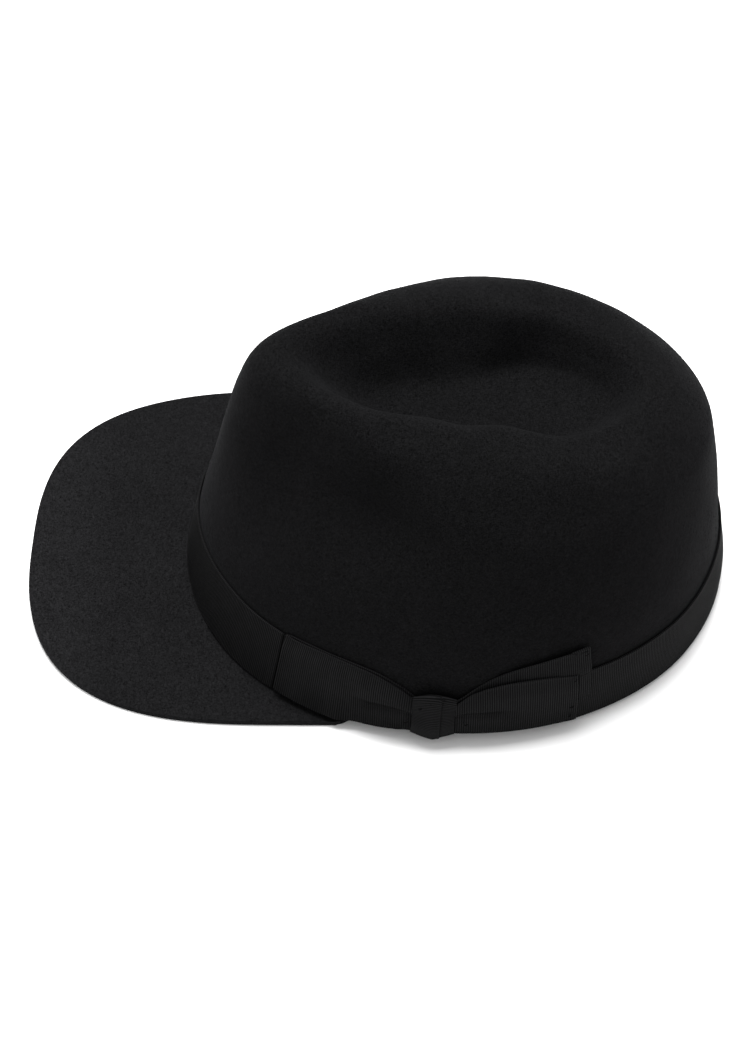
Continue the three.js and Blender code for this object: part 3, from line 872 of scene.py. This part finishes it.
def strip_piece(name, table, cap, lay):
    """A strip of the bow's ribbon. Returns it and its length.

    From a share of width, a distance from the knot and a share of length, lay gives lift and shade.
    """
    rows = np.array(table, float)
    length = distances_along(rows)[-1]
    count = int(length / (cap.rib_pitch / MM) * SAMPLES_A_RIB) + 1
    at, along, off, low, high = strip_stations(rows, count)
    across = width_rows(RIBBON_WIDE, BOW_ROWS)
    share = (across / RIBBON_WIDE)[:, None]
    up = low + (high - low) * share
    lift, shade = lay(share, along[None], (at / at[-1])[None])
    shade = np.broadcast_to(shade, up.shape)
    middle = over_band(np.broadcast_to(along, up.shape), up, off + lift)
    front, back = ribbon_skins(middle, at, across, RIBBON_WIDE, BOW_THICK, cap, False)
    piece, column, row, behind = plain_strip(name, count, across.size)
    move_vertices(piece, pick(front, back, row, column, behind))
    index = loop_vertices(piece)
    add_uv(piece, at[column[index]], across[row[index]])
    add_shade(piece, shade[row, column])
    return piece, length


def crease(share, centre, above, below):
    """A sharp fold along a ribbon: 1 on the fold, 0 at a given share of the width above and below it."""
    return np.clip(np.where(share > centre, 1 - (share - centre) / above, 1 - (centre - share) / below), 0, 1)


def under_fold(share, centre):
    """The shade under a fold: strong right below it, fading down over a share of the ribbon's width."""
    return ramp(centre - share, 0.0, 0.04) * np.clip(1 - (centre - share) / FOLD_SHADE_REACH, 0, 1)


def beside(along, edge, reach):
    """The shade on a ribbon just beyond the edge of one that lies over it."""
    return ramp(along, edge - reach, edge) * (1 - ramp(along, edge, edge + reach))


# The user's settings


class FeltCapShape(bpy.types.PropertyGroup):
    felt_thickness: bpy.props.FloatProperty(
        name="Felt thickness", description="Thickness of the felt", default=2.2 * MM, min=1 * MM, max=3 * MM,
        subtype="DISTANCE", unit="LENGTH")
    felt_unevenness: bpy.props.FloatProperty(
        name="Felt unevenness", description="How far the hand-blocked felt waves in and out",
        default=0.28 * MM, min=0.0, max=1 * MM, subtype="DISTANCE", unit="LENGTH")
    felt_edge: bpy.props.FloatProperty(
        name="Cut edge rounding", description="Width of the rounding on the felt's cut edges",
        default=0.45 * MM, min=0.0, max=1 * MM, subtype="DISTANCE", unit="LENGTH")
    rib_pitch: bpy.props.FloatProperty(
        name="Rib pitch", description="Distance between the ribbon's crosswise ribs", default=0.8 * MM,
        min=0.5 * MM, max=2 * MM, subtype="DISTANCE", unit="LENGTH")
    rib_relief: bpy.props.FloatProperty(
        name="Rib relief", description="How far a rib stands over the ribbon's middle level",
        default=0.06 * MM, min=0.0, max=0.2 * MM, subtype="DISTANCE", unit="LENGTH")
    stitch_length: bpy.props.FloatProperty(
        name="Stitch length", description="Length of the small stitches that hold the bow", default=1.3 * MM,
        min=0.5 * MM, max=3 * MM, subtype="DISTANCE", unit="LENGTH")


class FeltCapColours(bpy.types.PropertyGroup):
    felt: bpy.props.FloatVectorProperty(
        name="Felt", description="Colour of the felt", default=(0.0033, 0.0033, 0.0035), min=0.0, max=1.0,
        subtype="COLOR")
    ribbon: bpy.props.FloatVectorProperty(
        name="Ribbon", description="Colour of the band and the bow", default=(0.0054, 0.0054, 0.0057),
        min=0.0, max=1.0, subtype="COLOR")
    thread: bpy.props.FloatVectorProperty(
        name="Thread", description="Colour of the sewing thread", default=(0.0011, 0.0011, 0.0012),
        min=0.0, max=1.0, subtype="COLOR")
    floor: bpy.props.FloatVectorProperty(
        name="Floor", description="Colour of the floor", default=(0.93, 0.93, 0.93), min=0.0, max=1.0,
        subtype="COLOR")


def settings(context):
    return context.scene.felt_cap_shape, context.scene.felt_cap_colours


def cloth_materials(context):
    cap, colours = settings(context)
    felt = shared_material("Wool felt", felt_material, colours.felt)
    ribbon = shared_material("Grosgrain ribbon", ribbon_material, colours.ribbon, cap.rib_pitch)
    thread = shared_material("Sewing thread", thread_material, colours.thread)
    return felt, ribbon, thread


# Operators


class FELTCAP_OT_felt_body(bpy.types.Operator):
    """Models the crown and the peak as one blocked piece of felt"""

    bl_idname = "felt_cap.felt_body"
    bl_label = "Felt Body"

    def execute(self, context):
        cap, _ = settings(context)
        thick = cap.felt_thickness / MM
        signed, out, outer = felt_face(thick, cap.felt_unevenness / MM)
        inner = outer - felt_normals(outer) * thick
        inner[..., 2] = np.maximum(inner[..., 2], 0.0)
        body, column, row, behind = plain_tube("felt_cap_body", signed.size, out.shape[0])
        move_vertices(body, pick(outer, inner, row, column, behind))
        bpy.ops.object.mode_set(mode="EDIT")
        bpy.ops.mesh.select_all(action="SELECT")
        bpy.ops.mesh.remove_doubles(threshold=1e-6)
        bpy.ops.object.mode_set(mode="OBJECT")
        edge = body.modifiers.new("Cut edge", "BEVEL")
        edge.width = cap.felt_edge
        edge.segments = FELT_EDGE_SEGMENTS
        edge.limit_method = "ANGLE"
        edge.angle_limit = math.radians(FELT_EDGE_ANGLE)
        bpy.ops.object.modifier_apply(modifier=edge.name)
        finish_piece(body, "felt_body", cloth_materials(context)[0], FELT_SMOOTH_ANGLE)
        return {"FINISHED"}


class FELTCAP_OT_hat_band(bpy.types.Operator):
    """Models the grosgrain band round the foot of the crown"""

    bl_idname = "felt_cap.hat_band"
    bl_label = "Hat Band"

    def execute(self, context):
        cap, _ = settings(context)
        columns = int(round(BAND_LENGTH / (cap.rib_pitch / MM))) * SAMPLES_A_RIB
        along = np.arange(columns) / columns * BAND_LENGTH
        half = BAND_LENGTH / 2
        side = np.where(along > half, BAND_LENGTH - along, along)
        signed = through(ROUND_ALONG, ROUND_DEG, side) * np.where(along > half, -1.0, 1.0)
        across = width_rows(RIBBON_WIDE, BAND_ROWS)
        rng = np.random.default_rng(SEED + 1)
        middle = []
        for distance in across:
            out, up = band_point(signed, band_width(signed) * distance / RIBBON_WIDE)
            middle.append(place(signed, out + BAND_THICK / 2, up))
        middle = np.array(middle)
        share = (across / RIBBON_WIDE)[:, None]
        ripple = unevenness(middle[-1] * (1, 1, 0), BAND_RIPPLE_WAVE, rng)[None]
        middle[..., 2] += BAND_RIPPLE * ripple * share
        pitch = BAND_LENGTH / round(BAND_LENGTH / (cap.rib_pitch / MM))
        ribs_at = along / pitch * (cap.rib_pitch / MM)
        front, back = ribbon_skins(middle, ribs_at, across, RIBBON_WIDE, BAND_THICK, cap, True, False)
        band, column, row, behind = plain_tube("felt_cap_hat_band", columns, across.size)
        move_vertices(band, pick(front, back, row, column, behind))
        index = loop_vertices(band)
        turn = column[index].reshape(-1, 4)
        crosses = np.ptp(turn, axis=1) > columns / 2
        turn = np.where(crosses[:, None] & (turn < columns / 2), turn + columns, turn)
        add_uv(band, turn.ravel() * (cap.rib_pitch / MM / SAMPLES_A_RIB), across[row[index]])
        shade = np.zeros(middle.shape[:2])
        for strength, edge, reach, low, high in BAND_SHADES:
            shade += strength * beside(along - KNOT_ALONG, edge, reach) * ((share >= low) & (share <= high))
        add_shade(band, shade[row, column])
        finish_piece(band, "hat_band", cloth_materials(context)[1])
        return {"FINISHED"}


class FELTCAP_OT_bow_loop(bpy.types.Operator):
    """Models the bow's loop, a strip of ribbon that folds back on itself and is gathered at the knot"""

    bl_idname = "felt_cap.bow_loop"
    bl_label = "Bow Loop"

    def execute(self, context):
        cap, _ = settings(context)

        def lay(share, along, along_share):
            in_front = ramp(along_share, 0.55, 0.67)
            near = ramp(along, -38.0, -10.0)
            centre = 0.55 + 0.17 * ramp(along, -30.0, -4.0)
            tuck = (LOOP_TUCK + LOOP_TUCK_IN_FRONT * in_front) * ramp(share, 0.76, 1.0)
            fold = FOLD_LIFT * near * in_front * crease(share, centre, LOOP_FOLD_ABOVE, FOLD_BELOW)
            shade = LOOP_FOLD_SHADE * smoothstep(near * 1.5) * in_front * under_fold(share, centre)
            low_shade = LOOP_LOW_SHADE * in_front * ramp(share, 0.6, 0.1)
            return fold - tuck, shade + low_shade

        loop, length = strip_piece("felt_cap_bow_loop", LOOP, cap, lay)
        finish_piece(loop, "bow_loop", cloth_materials(context)[1])
        return {"FINISHED"}


class FELTCAP_OT_bow_tails(bpy.types.Operator):
    """Models the bow's two tails, one over the other"""

    bl_idname = "felt_cap.bow_tails"
    bl_label = "Bow Tails"

    def execute(self, context):
        cap, _ = settings(context)
        ribbon = cloth_materials(context)[1]

        def lay_rear(share, along, along_share):
            tuck = TAIL_REAR_TUCK * ramp(share, 0.56, 1.0) * ramp(along, 8.0, 20.0)
            beside_front_tail = beside(along, 52.0, 0.9) * (along_share < 0.8) * (share < 0.57)
            return -tuck, TAIL_EDGE_SHADE * beside_front_tail

        def lay_front(share, along, along_share):
            near = 1 - ramp(along, 4.0, 42.0)
            centre = through(TAIL_FOLD_ALONG, TAIL_FOLD_SHARE, along[0])[None]
            tuck = TAIL_FRONT_TUCK * ramp(share, 0.72, 1.0) * ramp(along, 6.0, 14.0)
            fold = FOLD_LIFT * near * crease(share, centre, TAIL_FOLD_ABOVE, FOLD_BELOW)
            shade = TAIL_FOLD_SHADE * ramp(along, 36.0, 18.0) * under_fold(share, centre)
            return fold - tuck, shade + TAIL_LOW_SHADE * ramp(share, 0.5, 0.0)

        rear, length = strip_piece("felt_cap_bow_tail_rear", TAIL_REAR, cap, lay_rear)
        finish_piece(rear, "bow_tail_rear", ribbon)
        front, length = strip_piece("felt_cap_bow_tail_front", TAIL_FRONT, cap, lay_front)
        finish_piece(front, "bow_tail_front", ribbon)
        return {"FINISHED"}


class FELTCAP_OT_bow_knot(bpy.types.Operator):
    """Models the ribbon wrapped round the middle of the bow"""

    bl_idname = "felt_cap.bow_knot"
    bl_label = "Bow Knot"

    def execute(self, context):
        cap, _ = settings(context)
        rows = np.array(KNOT)
        length = distances_along(rows)[-1]
        count = int(length / (cap.rib_pitch / MM) * SAMPLES_A_RIB) + 1
        at, up, off = strip_stations(rows, count)
        wide = 2 * KNOT_HALF_WIDE
        across = width_rows(wide, KNOT_ROWS)
        share = (across / wide)[:, None]
        at_share = at / at[-1]
        waist = KNOT_WAIST * np.sin(math.pi * at_share)
        slant = KNOT_SLANT * (at_share - KNOT_SLANT_MIDDLE)
        along = (share * 2 - 1) * (KNOT_HALF_WIDE - waist) - slant
        on_face = ramp(at, 1.0, 3.0) * ramp(at, at[-1] - 1.0, at[-1] - 3.0)
        bulge = 1 - (2 * share - 1) ** 2
        step_up = KNOT_OVERLAP_RISE * ramp(share, 0.6, 0.63)
        step_down = KNOT_OVERLAP_DROP * ramp(share, 0.645, 0.665)
        lift = on_face * (step_up - step_down + KNOT_BULGE * bulge - KNOT_SINK)
        turned = np.cos(math.pi * at_share)
        pointed = 1 - np.abs(2 * share - 1)
        up = up + np.maximum(turned, 0) * (KNOT_TOP_ARCH * bulge - KNOT_TOP_SINK)
        up = up + np.minimum(turned, 0) * (KNOT_FOOT_POINT * pointed - KNOT_FOOT_SINK)
        middle = over_band(along, up, off + lift)
        front, back = ribbon_skins(middle[::-1], at, across, wide, BOW_THICK, cap, False)
        front, back = front[::-1], back[::-1]
        knot, column, row, behind = plain_strip("felt_cap_bow_knot", count, across.size)
        row = across.size - 1 - row
        move_vertices(knot, pick(front, back, row, column, behind))
        index = loop_vertices(knot)
        add_uv(knot, at[column[index]], across[row[index]])
        finish_piece(knot, "bow_knot", cloth_materials(context)[1])
        return {"FINISHED"}


class FELTCAP_OT_sewing(bpy.types.Operator):
    """Models the stitches that hold the bow, and the frayed threads at the ribbon's cut ends"""

    bl_idname = "felt_cap.sewing"
    bl_label = "Sewing"

    def execute(self, context):
        cap, _ = settings(context)
        thread = cloth_materials(context)[2]
        rng = np.random.default_rng(SEED + 2)
        t = np.linspace(-0.5, 0.5, THREAD_POINTS)
        arch = STITCH_MIDDLE_OFF - STITCH_ARCH * t**2
        reach = cap.stitch_length / MM * t
        paths = []
        for along, up, off, slant in STITCHES:
            turn = math.radians(slant)
            paths.append(over_band(along + reach * math.cos(turn), up + reach * math.sin(turn), off + arch))
        stitches = threads("felt_cap_stitches", paths, STITCH_RADIUS)
        finish_piece(stitches, None, thread)
        t = np.linspace(0.0, 1.0, THREAD_POINTS)
        paths = []
        for along, up, off, spread, number in FRAYS:
            for _ in range(number):
                start = along + rng.uniform(-0.5, 0.5) * spread
                lean, curl = rng.normal(0.0, FRAY_LEAN), rng.normal(0.0, FRAY_CURL)
                reach = rng.uniform(*FRAY_REACH)
                sideways = start + reach * (lean * t + curl * t**2)
                rising = up + reach * t * (1 - FRAY_DROOP * t)
                paths.append(over_band(sideways, rising, off + rng.uniform(*FRAY_OFF) * t))
        frays = threads("felt_cap_frays", paths, FRAY_RADIUS)
        finish_piece(frays, None, thread)
        return {"FINISHED"}


class FELTCAP_OT_nap(bpy.types.Operator):
    """Scatters the loose ends of wool that stand off the felt"""

    bl_idname = "felt_cap.nap"
    bl_label = "Nap"

    def execute(self, context):
        cap, _ = settings(context)
        signed, out, face = felt_face(cap.felt_thickness / MM, cap.felt_unevenness / MM)
        normals = felt_normals(face)
        corner, next_column, next_row = face[:-1], np.roll(face, -1, 1)[:-1], face[1:]
        area = np.linalg.norm(np.cross(next_column - corner, next_row - corner), axis=-1)
        ribbon_top = by_angle(BAND_UP, signed) + RIBBON_WIDE * band_width(signed)
        over_ribbon = corner[..., 2] > ribbon_top + NAP_ABOVE_BAND
        beyond_base = out[:-1] > by_angle(BASE_OUT, signed) + NAP_BEYOND_BASE
        on_peak = (peak_share(signed) > 0.9) & beyond_base
        weight = (area * (over_ribbon | on_peak)).ravel()
        rng = np.random.default_rng(SEED + 3)
        cell = rng.choice(weight.size, size=NAP_FIBRES, p=weight / weight.sum())
        row, column = np.unravel_index(cell, area.shape)
        u, v = rng.uniform(size=(2, NAP_FIBRES, 1))
        root = corner[row, column]
        root = root + u * (next_column[row, column] - root) + v * (next_row[row, column] - root)
        normal = normals[row, column]
        lie = rng.normal(size=(NAP_FIBRES, 3))
        lie -= normal * (lie * normal).sum(1, keepdims=True)
        lie /= np.linalg.norm(lie, axis=1, keepdims=True)
        rise = NAP_LEAST_RISE + np.abs(rng.normal(0.0, NAP_RISE, (NAP_FIBRES, 1)))
        ahead = lie * np.cos(rise) + normal * np.sin(rise)
        tip = root + ahead * rng.uniform(*NAP_LENGTH, (NAP_FIBRES, 1))
        side = np.cross(normal, ahead)
        side /= np.linalg.norm(side, axis=1, keepdims=True)
        other = np.cross(ahead, side)
        clear_selection()
        bpy.ops.mesh.primitive_cone_add(vertices=3, radius1=1.0, radius2=0.0, depth=1.0, location=(0, 0, 0))
        nap = context.object
        nap.name = nap.data.name = "felt_cap_nap"
        at = coordinates(nap)
        repeat(nap, NAP_FIBRES)
        round_root = at[:, :1] * side[:, None] + at[:, 1:2] * other[:, None]
        points = np.where(at[:, 2:] > 0, tip[:, None], root[:, None] + NAP_RADIUS * round_root)
        move_vertices(nap, points.reshape(-1, 3) * MM)
        finish_piece(nap, None, cloth_materials(context)[0])
        return {"FINISHED"}


class FELTCAP_OT_stage(bpy.types.Operator):
    """Sets the pale floor, the soft lights and the camera"""

    bl_idname = "felt_cap.stage"
    bl_label = "Stage"

    def execute(self, context):
        _, colours = settings(context)
        clear_selection()
        bpy.ops.mesh.primitive_plane_add(size=FLOOR_SIZE, location=(0, 0, 0))
        floor = context.object
        floor.name = floor.data.name = "floor"
        move_vertices(floor, coordinates(floor) - np.array((0, 0, FLOOR_DOWN)))
        floor.data.materials.append(shared_material("White board", floor_material, colours.floor))
        for name, at, towards, size, power in LAMPS:
            bpy.ops.object.light_add(type="AREA", location=at)
            lamp = context.object
            lamp.name = lamp.data.name = name
            lamp.data.shape = "RECTANGLE"
            lamp.data.size, lamp.data.size_y = size
            lamp.data.energy = power
            lamp.rotation_euler = (Vector(towards) - Vector(at)).to_track_quat("-Z", "Y").to_euler()
        world = bpy.data.worlds.new("Soft white studio")
        world.use_nodes = True
        world.node_tree.nodes["Background"].inputs["Color"].default_value = (1.0, 1.0, 1.0, 1.0)
        world.node_tree.nodes["Background"].inputs["Strength"].default_value = WORLD_STRENGTH
        context.scene.world = world
        context.scene.view_settings.view_transform = "Standard"
        context.scene.view_settings.look = "None"
        level = Vector((math.cos(CAMERA_ROUND), math.sin(CAMERA_ROUND), 0.0))
        back = level * math.cos(CAMERA_UP) + Vector((0.0, 0.0, math.sin(CAMERA_UP)))
        right = Vector((-level.y, level.x, 0.0))
        above = back.cross(right)
        turn = Matrix((right, above, back)).transposed() @ Matrix.Rotation(CAMERA_ROLL, 3, "Z")
        bpy.ops.object.camera_add(location=Vector(CAMERA_TARGET) + back * CAMERA_DISTANCE)
        camera = context.object
        camera.name = camera.data.name = "camera"
        camera.rotation_euler = turn.to_euler()
        camera.data.lens = CAMERA_LENS
        camera.data.sensor_width = CAMERA_SENSOR
        context.scene.camera = camera
        return {"FINISHED"}


class FELTCAP_PT_cap(bpy.types.Panel):
    bl_label = "Felt Cap"
    bl_idname = "FELTCAP_PT_cap"
    bl_space_type = "VIEW_3D"
    bl_region_type = "UI"
    bl_category = "Felt Cap"

    def draw(self, context):
        for operator in OPERATORS:
            self.layout.operator(operator.bl_idname)
        for group in settings(context):
            for name in group.__annotations__:
                self.layout.prop(group, name)


OPERATORS = (
    FELTCAP_OT_stage,
    FELTCAP_OT_felt_body,
    FELTCAP_OT_hat_band,
    FELTCAP_OT_bow_loop,
    FELTCAP_OT_bow_tails,
    FELTCAP_OT_bow_knot,
    FELTCAP_OT_sewing,
    FELTCAP_OT_nap,
)
CLASSES = (FeltCapShape, FeltCapColours, *OPERATORS, FELTCAP_PT_cap)


def register():
    for item in CLASSES:
        bpy.utils.register_class(item)
    bpy.types.Scene.felt_cap_shape = bpy.props.PointerProperty(type=FeltCapShape)
    bpy.types.Scene.felt_cap_colours = bpy.props.PointerProperty(type=FeltCapColours)


def unregister():
    del bpy.types.Scene.felt_cap_colours
    del bpy.types.Scene.felt_cap_shape
    for item in reversed(CLASSES):
        bpy.utils.unregister_class(item)


def main():
    register()
    bpy.ops.felt_cap.stage()
    bpy.ops.felt_cap.felt_body()
    bpy.ops.felt_cap.hat_band()
    bpy.ops.felt_cap.bow_loop()
    bpy.ops.felt_cap.bow_tails()
    bpy.ops.felt_cap.bow_knot()
    bpy.ops.felt_cap.sewing()
    bpy.ops.felt_cap.nap()


if __name__ == "__main__":
    main()
